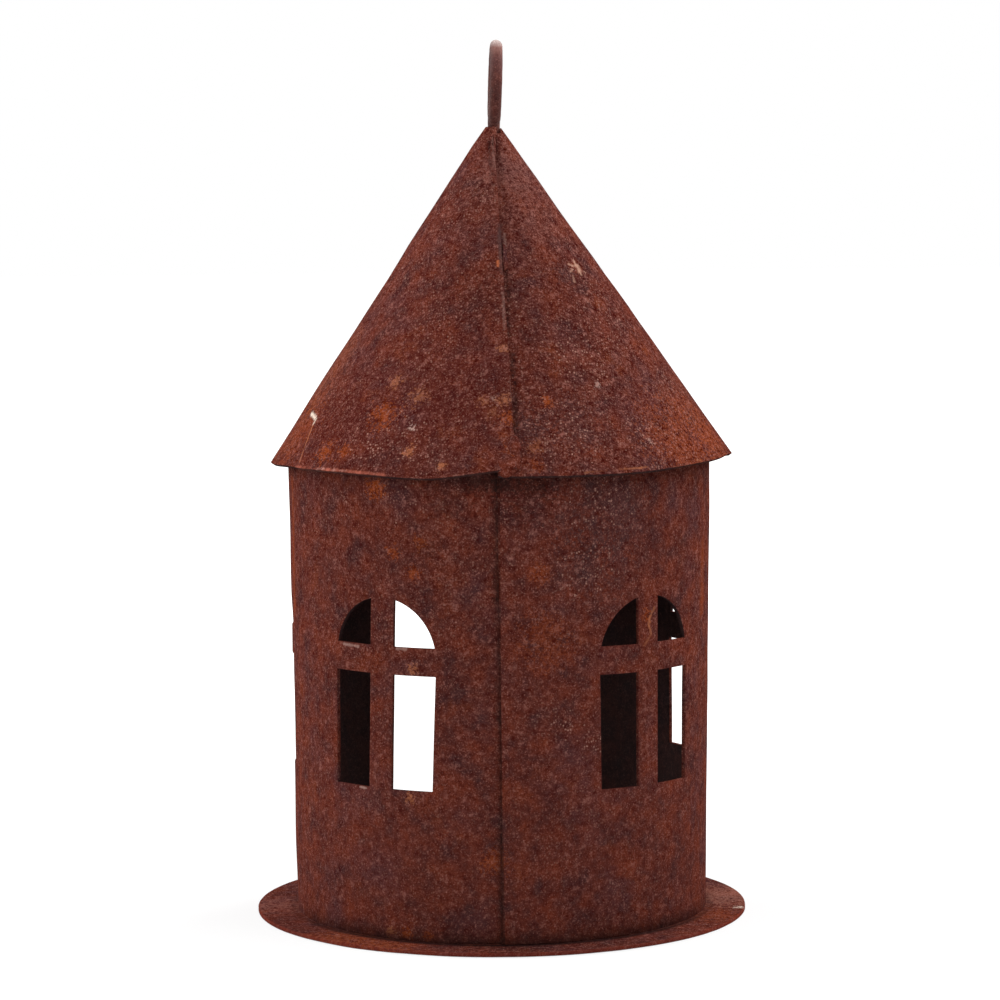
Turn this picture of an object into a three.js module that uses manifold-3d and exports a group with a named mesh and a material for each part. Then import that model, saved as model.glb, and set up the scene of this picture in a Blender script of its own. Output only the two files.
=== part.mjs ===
// A hanging candle holder in rusted sheet steel: a round tower with arched windows and an open
// doorway stands on a plate and carries a cone roof, with a wire eye at its tip to hang it by.
// Everything is welded. Millimetres, +Z up. The origin is the middle of the plate's underside. The
// doorway faces +Y, and both lapped seams face -Y. A turn is an angle in degrees round +Z, from -Y
// towards +X.
import * as THREE from "three";
import { mergeVertices } from "three/addons/utils/BufferGeometryUtils.js";
import Module from "manifold-3d";

const wasm = await Module();
wasm.setup();

// Stock
const SHEET = 1.0;
const PLATE_THICKNESS = 1.1;
const WIRE = 3.0;

// Clearances between pieces that meet
const SEAT_GAP = 0.3;
const WELD_GAP = 0.3;
const LAP_GAP = 0.2;
const STEM_GAP = 0.3;

// Base plate
const PLATE_RADIUS = 60;

// Tower wall: radii to the outside of the sheet, lap and easing as lengths along the sheet
const WALL_FOOT_RADIUS = 50.7;
const WALL_TOP_RADIUS = 51.9;
const WALL_LAP = 8.8;
const WALL_EASE = 16;
const WALL_SEAM_TURN = 1.5;

// Windows: heights above the ground, widths along the sheet. The jambs draw in towards the sill, and
// the bars climb towards the seam, in degrees
const WINDOW_TURNS = [40.6, 101.4, 259.1, 322.4];
const WINDOW_WIDTH = 30;
const WINDOW_DRAW = 0.5;
const WINDOW_SILL = 37;
const WINDOW_SPRING = 68;
const MULLION = 6.5;
const CROSS_BAR = 7;
const BAR_CLIMB = 1.4;

// Doorway
const DOOR_TURN = 180;
const DOOR_WIDTH = 62;
const DOOR_SILL = 10;
const DOOR_SPRING = 58;

// Roof: it sits a little to +X and leans to -X, and its eave lifts on both sides of the lap
const EAVE_OVERHANG = 4.6;
const EAVE_HEIGHT = 112.8;
const ROOF_HALF_ANGLE = THREE.MathUtils.degToRad(34.1);
const ROOF_LEAN = THREE.MathUtils.degToRad(1.0);
const ROOF_SHIFT = 0.35;
const TIP_LAND = 0.4;
const ROOF_LAP = 4.4;
const ROOF_EASE = 14;
const ROOF_SEAM_TURN = -2;
const EAVE_LIFT_OVER = 2.2;
const EAVE_LIFT_UNDER = 1.0;
const EAVE_LIFT_SPAN = 17;

// Hanging loop: a wire eye on a stem that goes down through the tip. The wire joins the eye and ends
// on it at angles from the eye's lowest point
const EYE_RADIUS = 9.1;
const EYE_RISE = 0.06;
const EYE_JOIN_TURN = 50;
const EYE_END_TURN = 340;
const STEM_LENGTH = 9;
const LOOP_LEAN = THREE.MathUtils.degToRad(3);
const LOOP_TURN = THREE.MathUtils.degToRad(-2.1);
const LOOP_SHIFT = 0.3;

// Welds: legs along the two faces that meet, and length of the bead
const BASE_WELD = { turns: [45, 135, 225, 315], leg: 2.6, length: 9 };
const ROOF_WELD = { turns: [45, 135, 225, 315], leg: 3.2, length: 9 };
const WALL_SEAM_WELD = { heights: [20, 60, 100], leg: 2.2, length: 8 };
const ROOF_SEAM_WELD = { fromEave: [6.2, 60], leg: 1.4, length: 8 };
const LOOP_WELD_LENGTH = 4;
const LOOP_WELD_TOP = 0.4;

// Facets round each form
const WALL_STEPS = 108;
const ROOF_STEPS = 108;
const PLATE_STEPS = 108;
const ARCH_STEPS = 16;
const WIRE_SIDES = 12;
const WIRE_STEPS = 72;
const BEAD_STEPS = 6;
const BEAD_END = 0.8;
const LATHE_STEPS = 32;

// How far a cutting tool reaches past the sheet on both sides
const CUT_REACH = 4;

const LAP_STEP = SHEET + LAP_GAP;
const EAVE_RADIUS = WALL_TOP_RADIUS + EAVE_OVERHANG;
const STEM_BORE = WIRE / 2 + STEM_GAP;
const TIP_RADIUS = STEM_BORE + TIP_LAND;
const ROOF_SLOPE = Math.tan(ROOF_HALF_ANGLE);
const TIP_HEIGHT = (EAVE_RADIUS - TIP_RADIUS) / ROOF_SLOPE;
const ROOF_SLANT = TIP_HEIGHT / Math.cos(ROOF_HALF_ANGLE);
// Height above the eave at which the underside of the roof meets the outside of the wall
const SEAT_HEIGHT = EAVE_OVERHANG / ROOF_SLOPE - SHEET / Math.sin(ROOF_HALF_ANGLE);
const WALL_HEIGHT = EAVE_HEIGHT + SEAT_HEIGHT - SEAT_GAP - PLATE_THICKNESS;
const WALL_LAP_TURN = turnOf(WALL_LAP, WALL_FOOT_RADIUS);
const WALL_EASE_TURN = turnOf(WALL_EASE, WALL_FOOT_RADIUS);
const WALL_START = WALL_SEAM_TURN - WALL_LAP_TURN / 2;
const WALL_END = WALL_SEAM_TURN + 360 + WALL_LAP_TURN / 2;
const ROOF_LAP_TURN = turnOf(ROOF_LAP, EAVE_RADIUS);
const ROOF_EASE_TURN = turnOf(ROOF_EASE, EAVE_RADIUS);
const ROOF_LIFT_TURN = turnOf(EAVE_LIFT_SPAN, EAVE_RADIUS);
const ROOF_START = ROOF_SEAM_TURN - ROOF_LAP_TURN / 2;
const ROOF_END = ROOF_SEAM_TURN + 360 + ROOF_LAP_TURN / 2;

function radians(turn) {
  return THREE.MathUtils.degToRad(turn);
}

// The angle in degrees that a length along the sheet takes up at a radius.
function turnOf(length, radius) {
  return THREE.MathUtils.radToDeg(length / radius);
}

function polar(turn, radius, height) {
  const angle = radians(turn);
  return new THREE.Vector3(radius * Math.sin(angle), -radius * Math.cos(angle), height);
}

// Moves each vertex of a flat pattern to its place on the rolled form.
function bent(geometry, place) {
  const position = geometry.getAttribute("position");
  for (let i = 0; i < position.count; i += 1) {
    const point = place(position.getX(i), position.getY(i), position.getZ(i));
    position.setXYZ(i, point.x, point.y, point.z);
  }
  return geometry;
}

// A sheet blank rolled up: along and up run from 0 to 1, and out from 0 inside to 1 outside.
function rolledSheet(steps, place) {
  const blank = new THREE.BoxGeometry(1, 1, 1, steps, 1, 1);
  blank.translate(0.5, 0.5, 0.5);
  return bent(blank, place);
}

// 1 in a lap, easing to 0 with the distance past its edge, all as angles from the lap's middle.
function lapShare(pastMiddle, lap, ease) {
  return 1 - THREE.MathUtils.smoothstep(pastMiddle, lap / 2, lap / 2 + ease);
}

// How far the two layers of each lap stand off the round there, at an angle from the lap's middle.
function wallOffset(pastMiddle) {
  return (lapShare(pastMiddle, WALL_LAP_TURN, WALL_EASE_TURN) * LAP_STEP) / 2;
}

function roofOffset(pastMiddle) {
  return (lapShare(pastMiddle, ROOF_LAP_TURN, ROOF_EASE_TURN) * LAP_STEP) / 2;
}

function solidOf(geometry) {
  const bare = geometry.clone();
  bare.deleteAttribute("normal");
  bare.deleteAttribute("uv");
  const merged = mergeVertices(bare, 1e-4);
  const vertProperties = merged.getAttribute("position").array;
  const triVerts = new Uint32Array(merged.index.array);
  return new wasm.Manifold(new wasm.Mesh({ numProp: 3, vertProperties, triVerts }));
}

function geometryOf(solid) {
  const { vertProperties, triVerts } = solid.getMesh();
  const geometry = new THREE.BufferGeometry();
  geometry.setAttribute("position", new THREE.BufferAttribute(vertProperties, 3));
  geometry.setIndex(new THREE.BufferAttribute(triVerts, 1));
  geometry.computeVertexNormals();
  return geometry;
}

function piece(name, geometry, color, roughness) {
  const material = new THREE.MeshStandardMaterial({ color, roughness, metalness: 0.2 });
  const mesh = new THREE.Mesh(geometry, material);
  mesh.name = name;
  return mesh;
}

// Base plate: a round blank cut from flat sheet.
function basePlate() {
  const outline = new THREE.Shape();
  outline.absarc(0, 0, PLATE_RADIUS, 0, 2 * Math.PI);
  return new THREE.ExtrudeGeometry(outline, {
    depth: PLATE_THICKNESS,
    bevelEnabled: false,
    curveSegments: PLATE_STEPS / 2,
  });
}

// Outside radius of the wall at a height above the plate, before the lap is set in or out.
function wallRadius(rise) {
  return THREE.MathUtils.lerp(WALL_FOOT_RADIUS, WALL_TOP_RADIUS, rise / WALL_HEIGHT);
}

// Tower wall: the sheet starts as the outer layer of the lap, goes round and ends as the inner one.
// Its top edge is cut to the seat of the roof that it carries, and lower at the laps.
function wallSheet() {
  return rolledSheet(WALL_STEPS, (along, up, out) => {
    const turn = THREE.MathUtils.lerp(WALL_START, WALL_END, along);
    const offset = wallOffset(turn - WALL_SEAM_TURN) - wallOffset(WALL_SEAM_TURN + 360 - turn);
    const radius = wallRadius(up * WALL_HEIGHT) + offset - SHEET * (1 - out);
    const roofTurn = Math.min(turn - ROOF_SEAM_TURN, ROOF_SEAM_TURN + 360 - turn);
    const lapDrop = offset / ROOF_SLOPE + roofOffset(roofTurn) / Math.sin(ROOF_HALF_ANGLE);
    const lean = Math.sin(radians(turn)) * (radius * Math.tan(ROOF_LEAN) + ROOF_SHIFT / ROOF_SLOPE);
    return polar(turn, radius, PLATE_THICKNESS + up * (WALL_HEIGHT + lean - lapDrop));
  });
}

// A cutting tool for the wall: a flat outline, x along the sheet and y above the ground, wrapped
// round the tower at a turn. Its outer face is flat across the width, so it starts further out on a
// wide outline. Climb is the angle at which level lines rise along x.
function wallCutter(outline, width, turn, climb) {
  const tool = new THREE.ExtrudeGeometry(outline, {
    depth: 1,
    bevelEnabled: false,
    curveSegments: ARCH_STEPS,
  });
  const slope = Math.tan(radians(climb));
  return bent(tool, (x, y, z) => {
    const height = y + x * slope;
    const radius = wallRadius(height - PLATE_THICKNESS);
    const inside = radius - SHEET - CUT_REACH;
    const outside = (radius + CUT_REACH) / Math.cos(width / 2 / WALL_FOOT_RADIUS);
    return polar(turn + turnOf(x, radius), THREE.MathUtils.lerp(inside, outside, z), height);
  });
}

// The four panes of a window: two rectangles under the cross-bar and two quarter arches over it.
function windowPanes() {
  const half = WINDOW_WIDTH / 2;
  const bar = MULLION / 2;
  const low = WINDOW_SPRING - CROSS_BAR / 2;
  const high = WINDOW_SPRING + CROSS_BAR / 2;
  const start = Math.asin(CROSS_BAR / 2 / half);
  const end = Math.acos(bar / half);
  const panes = [];
  for (const side of [1, -1]) {
    const lower = new THREE.Shape();
    lower.moveTo(side * bar, WINDOW_SILL);
    lower.lineTo(side * (half - WINDOW_DRAW), WINDOW_SILL);
    lower.lineTo(side * half, low);
    lower.lineTo(side * bar, low);
    const upper = new THREE.Shape();
    upper.moveTo(side * bar, high);
    upper.lineTo(side * half * Math.cos(start), high);
    const from = side > 0 ? start : Math.PI - start;
    const to = side > 0 ? end : Math.PI - end;
    upper.absarc(0, WINDOW_SPRING, half, from, to, side < 0);
    panes.push(lower, upper);
  }
  return panes;
}

function doorOutline() {
  const half = DOOR_WIDTH / 2;
  const door = new THREE.Shape();
  door.moveTo(-half, DOOR_SILL);
  door.lineTo(half, DOOR_SILL);
  door.absarc(0, DOOR_SPRING, half, 0, Math.PI, false);
  return door;
}

function towerWall() {
  let wall = solidOf(wallSheet());
  for (const turn of WINDOW_TURNS) {
    const climb = turn < 180 ? -BAR_CLIMB : BAR_CLIMB;
    for (const pane of windowPanes()) {
      wall = wall.subtract(solidOf(wallCutter(pane, WINDOW_WIDTH, turn, climb)));
    }
  }
  wall = wall.subtract(solidOf(wallCutter(doorOutline(), DOOR_WIDTH, DOOR_TURN, 0)));
  return geometryOf(wall);
}

// A point on the roof in the roof's own frame, whose origin is the middle of the eave circle:
// distance up the slant from the eave, and distance outwards from the outer face of the cone.
function roofPoint(turn, slant, out) {
  const radius = EAVE_RADIUS - slant * Math.sin(ROOF_HALF_ANGLE) + out * Math.cos(ROOF_HALF_ANGLE);
  const height = slant * Math.cos(ROOF_HALF_ANGLE) + out * Math.sin(ROOF_HALF_ANGLE);
  return polar(turn, radius, height);
}

// Roof cone: the sheet starts as the under layer of the lap, goes round and ends as the over layer.
// A round hole at the tip takes the stem of the loop.
function roofCone() {
  const sheet = rolledSheet(ROOF_STEPS, (along, up, out) => {
    const turn = THREE.MathUtils.lerp(ROOF_START, ROOF_END, along);
    const pastStart = turn - ROOF_SEAM_TURN;
    const pastEnd = ROOF_SEAM_TURN + 360 - turn;
    const lift =
      EAVE_LIFT_UNDER * lapShare(pastStart, ROOF_LAP_TURN, ROOF_LIFT_TURN) +
      EAVE_LIFT_OVER * lapShare(pastEnd, ROOF_LAP_TURN, ROOF_LIFT_TURN);
    const offset = roofOffset(pastEnd) - roofOffset(pastStart);
    return roofPoint(turn, THREE.MathUtils.lerp(lift, ROOF_SLANT, up), offset - SHEET * (1 - out));
  });
  const bore = new THREE.CylinderGeometry(STEM_BORE, STEM_BORE, 2 * CUT_REACH, LATHE_STEPS);
  bore.rotateX(Math.PI / 2);
  bore.translate(LOOP_SHIFT, 0, TIP_HEIGHT);
  return geometryOf(solidOf(sheet).subtract(solidOf(bore)));
}

// Hanging loop, in a frame at the tip of the cone: the stem comes up through the hole, flares to
// one side, goes round the eye and ends just short of the stem. The eye leans from the tip up.
function hangingLoop() {
  const middle = EYE_RADIUS + WIRE / 2 + EYE_RISE;
  const onEye = (turn, radius) => [
    radius * Math.sin(radians(turn)),
    middle - radius * Math.cos(radians(turn)),
  ];
  const place = (across, height) =>
    new THREE.Vector3(Math.max(height, 0) * Math.tan(LOOP_LEAN), across, height);
  const [joinAcross, joinHeight] = onEye(EYE_JOIN_TURN, EYE_RADIUS);
  const pull = EYE_RADIUS / 3;
  const pullAcross = pull * Math.cos(radians(EYE_JOIN_TURN));
  const pullHeight = pull * Math.sin(radians(EYE_JOIN_TURN));
  const wire = new THREE.CurvePath();
  wire.add(new THREE.LineCurve3(place(0, -STEM_LENGTH), place(0, 0)));
  wire.add(
    new THREE.CubicBezierCurve3(
      place(0, 0),
      place(0, WIRE),
      place(joinAcross - pullAcross, joinHeight - pullHeight),
      place(joinAcross, joinHeight),
    ),
  );
  const round = [];
  const roundSteps = WIRE_STEPS / 2;
  for (let i = 0; i <= roundSteps; i += 1) {
    const turn = THREE.MathUtils.lerp(EYE_JOIN_TURN, EYE_END_TURN, i / roundSteps);
    round.push(place(...onEye(turn, EYE_RADIUS)));
  }
  wire.add(new THREE.CatmullRomCurve3(round));
  const section = new THREE.Shape();
  section.absarc(0, 0, WIRE / 2, 0, 2 * Math.PI);
  return new THREE.ExtrudeGeometry(section, {
    steps: WIRE_STEPS,
    curveSegments: WIRE_SIDES / 2,
    bevelEnabled: false,
    extrudePath: wire,
  });
}

// Weld round the stem, under the tip: it fills the cone between the stem and the sheet.
function loopWeld() {
  const inside = WIRE / 2 + WELD_GAP;
  const toFace = (SHEET + LAP_STEP / 2 + WELD_GAP) / Math.cos(ROOF_HALF_ANGLE) + LOOP_SHIFT;
  const outside = (depth) => TIP_RADIUS + depth * ROOF_SLOPE - toFace;
  const top = (inside + LOOP_WELD_TOP - outside(0)) / ROOF_SLOPE;
  const bottom = top + LOOP_WELD_LENGTH;
  const profile = [
    new THREE.Vector2(inside, -bottom),
    new THREE.Vector2(outside(bottom - LOOP_WELD_TOP) - LOOP_WELD_TOP, -bottom),
    new THREE.Vector2(outside(bottom - LOOP_WELD_TOP), LOOP_WELD_TOP - bottom),
    new THREE.Vector2(inside + LOOP_WELD_TOP, -top),
    new THREE.Vector2(inside, -top),
    new THREE.Vector2(inside, -bottom),
  ];
  const ring = new THREE.LatheGeometry(profile, LATHE_STEPS);
  ring.rotateX(Math.PI / 2);
  return ring;
}

// A short weld bead in a corner: two legs from the corner, a hollow face between them, and ends
// that thin out. Place takes distances along the two legs and along the bead.
function weldBead(firstLeg, secondLeg, length, place) {
  const section = new THREE.Shape();
  section.moveTo(0, 0);
  section.lineTo(firstLeg, 0);
  section.quadraticCurveTo(firstLeg / 3, secondLeg / 3, 0, secondLeg);
  const bead = new THREE.ExtrudeGeometry(section, {
    depth: length,
    steps: BEAD_STEPS,
    bevelEnabled: false,
    curveSegments: BEAD_STEPS,
  });
  return bent(bead, (first, second, along) => {
    const toEnd = (2 * along) / length - 1;
    const share = Math.sqrt(1 - BEAD_END * toEnd * toEnd);
    return place(first * share, second * share, along - length / 2);
  });
}

// Weld between the plate and the foot of the wall: legs inwards on the plate and up the wall.
function baseWeld(turn) {
  const { leg, length } = BASE_WELD;
  const inside = WALL_FOOT_RADIUS - SHEET - WELD_GAP;
  return weldBead(leg, leg, length, (inwards, up, along) =>
    polar(turn + turnOf(along, inside), inside - inwards, PLATE_THICKNESS + up),
  );
}

// Weld between the wall and the underside of the roof: legs up the cone and down the wall.
function roofWeld(turn) {
  const { leg, length } = ROOF_WELD;
  const inside = WALL_TOP_RADIUS - SHEET;
  const corner = SEAT_HEIGHT + SHEET / ROOF_SLOPE;
  const gap = WELD_GAP / Math.sin(ROOF_HALF_ANGLE);
  const dropToWall = SHEET / ROOF_SLOPE + SEAT_GAP;
  return weldBead(leg, leg + dropToWall, length, (up, down, along) => {
    const climb = up + gap;
    const radius = inside - climb * Math.sin(ROOF_HALF_ANGLE);
    const height = corner + climb * Math.cos(ROOF_HALF_ANGLE) - down - gap;
    return polar(turn - turnOf(along, inside), radius, height);
  });
}

// Weld along the inner edge of the wall's lap: legs on the outer layer and across the sheet's edge.
function wallSeamWeld(height) {
  const { leg, length } = WALL_SEAM_WELD;
  return weldBead(leg, SHEET, length, (aside, inwards, along) => {
    const level = height + along;
    const inside = wallRadius(level - PLATE_THICKNESS) - SHEET;
    const pastMiddle = WALL_LAP_TURN / 2 + turnOf(aside + WELD_GAP, inside);
    const radius = inside + wallOffset(pastMiddle) - WELD_GAP - inwards;
    return polar(WALL_SEAM_TURN + pastMiddle, radius, level);
  });
}

// Weld along the outer edge of the roof's lap: legs on the under layer and across the sheet's edge.
function roofSeamWeld(fromEave) {
  const { leg, length } = ROOF_SEAM_WELD;
  return weldBead(leg, SHEET, length, (aside, outwards, along) => {
    const slant = fromEave - along;
    const radius = EAVE_RADIUS - slant * Math.sin(ROOF_HALF_ANGLE);
    const pastMiddle = ROOF_LAP_TURN / 2 + turnOf(aside + WELD_GAP, radius);
    return roofPoint(ROOF_SEAM_TURN + pastMiddle, slant, outwards + WELD_GAP - roofOffset(pastMiddle));
  });
}

const RUST = 0x5c2a22;
const WIRE_RUST = 0x4e2a27;
const WELD_RUST = 0x6b3626;

const lantern = new THREE.Group();
lantern.add(piece("base_plate", basePlate(), RUST, 0.85));
lantern.add(piece("tower_wall", towerWall(), RUST, 0.85));
BASE_WELD.turns.forEach((turn, i) => {
  lantern.add(piece(`base_weld_${i + 1}`, baseWeld(turn), WELD_RUST, 0.9));
});
WALL_SEAM_WELD.heights.forEach((height, i) => {
  lantern.add(piece(`wall_seam_weld_${i + 1}`, wallSeamWeld(height), WELD_RUST, 0.9));
});

const roof = new THREE.Group();
roof.position.set(ROOF_SHIFT, 0, EAVE_HEIGHT);
roof.rotation.y = -ROOF_LEAN;
lantern.add(roof);
roof.add(piece("roof_cone", roofCone(), RUST, 0.85));
ROOF_WELD.turns.forEach((turn, i) => {
  roof.add(piece(`roof_weld_${i + 1}`, roofWeld(turn), WELD_RUST, 0.9));
});
ROOF_SEAM_WELD.fromEave.forEach((fromEave, i) => {
  roof.add(piece(`roof_seam_weld_${i + 1}`, roofSeamWeld(fromEave), WELD_RUST, 0.9));
});

const tip = new THREE.Group();
tip.position.set(LOOP_SHIFT, 0, TIP_HEIGHT);
tip.rotation.z = LOOP_TURN;
roof.add(tip);
tip.add(piece("hanging_loop", hangingLoop(), WIRE_RUST, 0.75));
tip.add(piece("loop_weld", loopWeld(), WELD_RUST, 0.9));

export default lantern;
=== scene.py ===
import math

import bpy
from mathutils import Matrix, Vector


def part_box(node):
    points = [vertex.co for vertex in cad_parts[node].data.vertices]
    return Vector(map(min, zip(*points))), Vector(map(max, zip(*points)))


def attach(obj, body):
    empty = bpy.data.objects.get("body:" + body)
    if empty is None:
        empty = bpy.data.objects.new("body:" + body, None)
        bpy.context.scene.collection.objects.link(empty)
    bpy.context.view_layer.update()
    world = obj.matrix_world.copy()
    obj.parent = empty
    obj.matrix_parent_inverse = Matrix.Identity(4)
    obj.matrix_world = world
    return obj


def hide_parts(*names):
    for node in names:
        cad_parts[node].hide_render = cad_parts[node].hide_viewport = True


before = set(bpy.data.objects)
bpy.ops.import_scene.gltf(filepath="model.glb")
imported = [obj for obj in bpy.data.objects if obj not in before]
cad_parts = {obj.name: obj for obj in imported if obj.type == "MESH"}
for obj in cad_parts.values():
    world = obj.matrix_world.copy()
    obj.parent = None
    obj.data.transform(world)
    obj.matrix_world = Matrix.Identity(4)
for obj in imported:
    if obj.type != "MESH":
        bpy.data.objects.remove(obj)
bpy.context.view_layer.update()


# Camera: a long lens a metre from the tower, on the side of its seams, as high as the top of its
# loop and tilted down, as the photograph was taken.
CAMERA_DISTANCE = 1.0389
CAMERA_HEIGHT = 0.2123
CAMERA_TURN = math.radians(-3.6)
CAMERA_PAN = math.radians(-0.011)
CAMERA_TILT = math.radians(6.078)
CAMERA_ROLL = math.radians(-0.369)
CAMERA_LENS = 152.56
SENSOR_WIDTH = 36

bpy.ops.object.select_all(action="DESELECT")
bpy.ops.object.camera_add()
camera = bpy.context.object
camera.location = (
    CAMERA_DISTANCE * math.sin(CAMERA_TURN),
    -CAMERA_DISTANCE * math.cos(CAMERA_TURN),
    CAMERA_HEIGHT,
)
camera_facing = Matrix.Rotation(CAMERA_TURN + CAMERA_PAN, 3, "Z")
camera_facing = camera_facing @ Matrix.Rotation(math.pi / 2 - CAMERA_TILT, 3, "X")
camera_facing = camera_facing @ Matrix.Rotation(CAMERA_ROLL, 3, "Z")
camera.rotation_euler = camera_facing.to_euler()
camera.data.lens = CAMERA_LENS
camera.data.sensor_width = SENSOR_WIDTH
bpy.context.scene.camera = camera


# Floor: a white table top that runs out of sight. Near the lantern it is seen white in part by its
# own glow and in part by the light on it, which leaves a soft shadow. Far off it only glows.
FLOOR_SIZE = 6
FLOOR_BOUNCE = (0.5, 0.5, 0.5, 1)
FLOOR_LIT = (0.34, 0.34, 0.34, 1)
FLOOR_GLOW_NEAR = 0.62
FLOOR_GLOW_FAR = 1
FLOOR_NEAR = 0.10
FLOOR_FAR = 0.60


def seen_ray(nodes, links):
    """1 for rays from the camera, straight or by way of metal or glass, and 0 for all others."""
    ray = nodes.new("ShaderNodeLightPath")
    straight = nodes.new("ShaderNodeMath")
    straight.operation = "MAXIMUM"
    seen = nodes.new("ShaderNodeMath")
    seen.operation = "MAXIMUM"
    links.new(ray.outputs["Is Camera Ray"], straight.inputs[0])
    links.new(ray.outputs["Is Glossy Ray"], straight.inputs[1])
    links.new(straight.outputs[0], seen.inputs[0])
    links.new(ray.outputs["Is Transmission Ray"], seen.inputs[1])
    return seen.outputs[0]


bpy.ops.mesh.primitive_plane_add(size=FLOOR_SIZE)
floor = bpy.context.object
floor.name = "floor"
floor_paint = bpy.data.materials.new("white_table_top")
floor_paint.use_nodes = True
floor_nodes = floor_paint.node_tree.nodes
floor_links = floor_paint.node_tree.links
floor_nodes.clear()
floor_place = floor_nodes.new("ShaderNodeTexCoord")
floor_away = floor_nodes.new("ShaderNodeVectorMath")
floor_away.operation = "LENGTH"
floor_share = floor_nodes.new("ShaderNodeMapRange")
floor_share.inputs["From Min"].default_value = FLOOR_NEAR
floor_share.inputs["From Max"].default_value = FLOOR_FAR
floor_share.inputs["To Min"].default_value = FLOOR_GLOW_NEAR
floor_share.inputs["To Max"].default_value = FLOOR_GLOW_FAR
floor_seen = floor_nodes.new("ShaderNodeBsdfDiffuse")
floor_seen.inputs["Color"].default_value = FLOOR_LIT
floor_glow = floor_nodes.new("ShaderNodeEmission")
floor_both = floor_nodes.new("ShaderNodeAddShader")
floor_bounce = floor_nodes.new("ShaderNodeBsdfDiffuse")
floor_bounce.inputs["Color"].default_value = FLOOR_BOUNCE
floor_mix = floor_nodes.new("ShaderNodeMixShader")
floor_out = floor_nodes.new("ShaderNodeOutputMaterial")
floor_links.new(floor_place.outputs["Object"], floor_away.inputs[0])
floor_links.new(floor_away.outputs["Value"], floor_share.inputs["Value"])
floor_links.new(floor_share.outputs["Result"], floor_glow.inputs["Strength"])
floor_links.new(floor_seen.outputs[0], floor_both.inputs[0])
floor_links.new(floor_glow.outputs[0], floor_both.inputs[1])
floor_links.new(seen_ray(floor_nodes, floor_links), floor_mix.inputs[0])
floor_links.new(floor_bounce.outputs[0], floor_mix.inputs[1])
floor_links.new(floor_both.outputs[0], floor_mix.inputs[2])
floor_links.new(floor_mix.outputs[0], floor_out.inputs["Surface"])
floor.data.materials.append(floor_paint)


# Light: a white room with six soft boxes, at the left, the right, above, in front and two stronger
# ones behind, so that both flanks of the tower and of the roof are brighter than their middle.
ROOM_LIGHT = 0.26
ROOM_SEEN = 1
ROOM_WHITE = (1, 1, 1, 1)
SOFT_BOX_SIZE = 0.9
SOFT_BOXES = (
    dict(place=(-1.1, -0.3, 0.20), power=5.7),
    dict(place=(0.9, -0.3, 0.95), power=6.0),
    dict(place=(0.0, 0.0, 1.35), power=2.1),
    dict(place=(0.0, -1.0, 0.75), power=4.2),
    dict(place=(-0.95, 0.6, 0.85), power=18.0),
    dict(place=(0.95, 0.6, 0.85), power=16.8),
)
LIGHT_AIM = Vector((0, 0, 0.1))

room = bpy.data.worlds.new("white_room")
bpy.context.scene.world = room
room.use_nodes = True
room_nodes = room.node_tree.nodes
room_links = room.node_tree.links
room_nodes.clear()
room_strength = room_nodes.new("ShaderNodeMix")
room_strength.inputs["A"].default_value = ROOM_LIGHT
room_strength.inputs["B"].default_value = ROOM_SEEN
room_glow = room_nodes.new("ShaderNodeBackground")
room_glow.inputs["Color"].default_value = ROOM_WHITE
room_out = room_nodes.new("ShaderNodeOutputWorld")
room_links.new(seen_ray(room_nodes, room_links), room_strength.inputs["Factor"])
room_links.new(room_strength.outputs["Result"], room_glow.inputs["Strength"])
room_links.new(room_glow.outputs[0], room_out.inputs["Surface"])

for soft_box in SOFT_BOXES:
    place = Vector(soft_box["place"])
    bpy.ops.object.light_add(type="AREA", location=place)
    lamp = bpy.context.object
    lamp.rotation_euler = (place - LIGHT_AIM).to_track_quat("Z", "Y").to_euler()
    lamp.data.shape = "SQUARE"
    lamp.data.size = SOFT_BOX_SIZE
    lamp.data.energy = soft_box["power"]

bpy.context.scene.view_settings.view_transform = "Standard"


# Base plate: a round blank cut from flat sheet steel and rusted, on which the tower is welded. Its
# rim is a little rounded and uneven from the shears.
PLATE_RADIUS = 0.0606
PLATE_SIDES = 240
PLATE_ROUNDING = 0.0002
PLATE_ROUNDING_STEPS = 3
PLATE_RINGS = 6
PLATE_RING = 0.0025
PLATE_DENT = 0.0002
PLATE_DENT_SIZE = 0.012
ONLY_INWARDS = 1
FOOT_SHADE_RADIUS = 0.0516
WARM_RUST = (0.23, 0.052, 0.019)
PAINTED_SHEEN_LEFT = (0.30, 0.115, 0.092)
PAINTED_SHEEN_RIGHT = (0.36, 0.150, 0.110)
RIM_RED_HIGHLIGHT = (0.20, 0.035, 0.022)
SHARP_EDGE = math.radians(40)
SMOOTH_EDGE = math.radians(35)

plate_low, plate_high = (Vector(corner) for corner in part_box("base_plate"))
plate_size = plate_high - plate_low
plate_top = plate_high.z


def choose(piece, wanted):
    """Leaves only those vertices selected, in edit mode, whose place is wanted."""
    bpy.ops.object.mode_set(mode="EDIT")
    bpy.ops.mesh.select_mode(type="VERT")
    bpy.ops.mesh.select_all(action="DESELECT")
    bpy.ops.object.mode_set(mode="OBJECT")
    for vertex in piece.data.vertices:
        vertex.select = wanted(vertex.co)
    bpy.ops.object.mode_set(mode="EDIT")


def fix(piece, kind, **settings):
    """Adds a modifier with those settings and applies it."""
    modifier = piece.modifiers.new(kind.lower(), kind)
    for setting, value in settings.items():
        setattr(modifier, setting, value)
    bpy.ops.object.modifier_apply(modifier=modifier.name)


def round_edges(piece, width, steps, sharp):
    """Rounds the edges that are sharper than that angle."""
    fix(piece, "BEVEL", width=width, segments=steps, limit_method="ANGLE", angle_limit=sharp)


def dents(name, size):
    """A cloudy pattern of that size, for sheet that isn't quite even."""
    pattern = bpy.data.textures.new(name, "CLOUDS")
    pattern.noise_scale = size
    pattern.noise_depth = 2
    return pattern


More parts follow.
